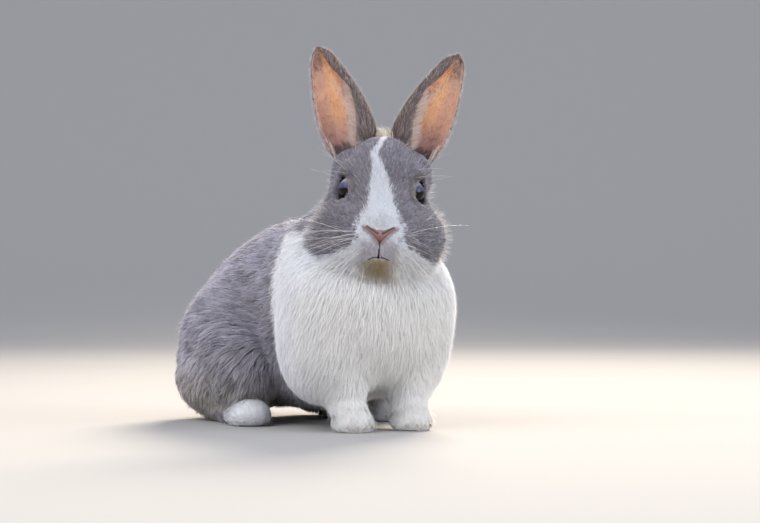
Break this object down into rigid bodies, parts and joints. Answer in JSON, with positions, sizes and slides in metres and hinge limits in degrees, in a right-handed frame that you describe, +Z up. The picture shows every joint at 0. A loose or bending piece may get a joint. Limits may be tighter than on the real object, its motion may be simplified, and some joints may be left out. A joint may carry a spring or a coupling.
{
  "type": "rabbit",
  "caption": "Life-size still model of a Dutch rabbit sitting alert with its ears up and its head turned to its right, with a short soft coat and stiff whiskers.",
  "frame": {"origin": "on the floor, under the middle of the rabbit's bounding box", "axes": "+Z up, the rabbit faces -Y, its left side is at +X"},
  "size_m": [0.1558, 0.2848, 0.2649],
  "materials": {
    "coat_grey": "short soft blue-grey fur, paler at the hair tips",
    "coat_white": "short soft white fur",
    "nose": "bare pink skin, slightly moist",
    "eye": "near-black polished eye",
    "claw": "pale horn"
  },
  "bodies": {
    "root": {"eye_left": "eye", "ear_left": "coat_grey", "foreleg_left": "coat_white", "forepaw_left": "coat_white", "hindfoot_left": "coat_white", "thigh_left": "coat_grey", "claw_forepaw_left_1": "claw", "claw_forepaw_left_2": "claw", "claw_forepaw_left_3": "claw", "claw_forepaw_left_4": "claw", "claw_hindfoot_left_1": "claw", "claw_hindfoot_left_2": "claw", "claw_hindfoot_left_3": "claw", "claw_hindfoot_left_4": "claw", "eye_right": "eye", "ear_right": "coat_grey", "foreleg_right": "coat_white", "forepaw_right": "coat_white", "hindfoot_right": "coat_white", "thigh_right": "coat_grey", "claw_forepaw_right_1": "claw", "claw_forepaw_right_2": "claw", "claw_forepaw_right_3": "claw", "claw_forepaw_right_4": "claw", "claw_hindfoot_right_1": "claw", "claw_hindfoot_right_2": "claw", "claw_hindfoot_right_3": "claw", "claw_hindfoot_right_4": "claw", "head": "coat_grey", "nose": "nose", "neck": "coat_white", "trunk": "coat_grey", "tail": "coat_grey"}
  },
  "joints": []
}
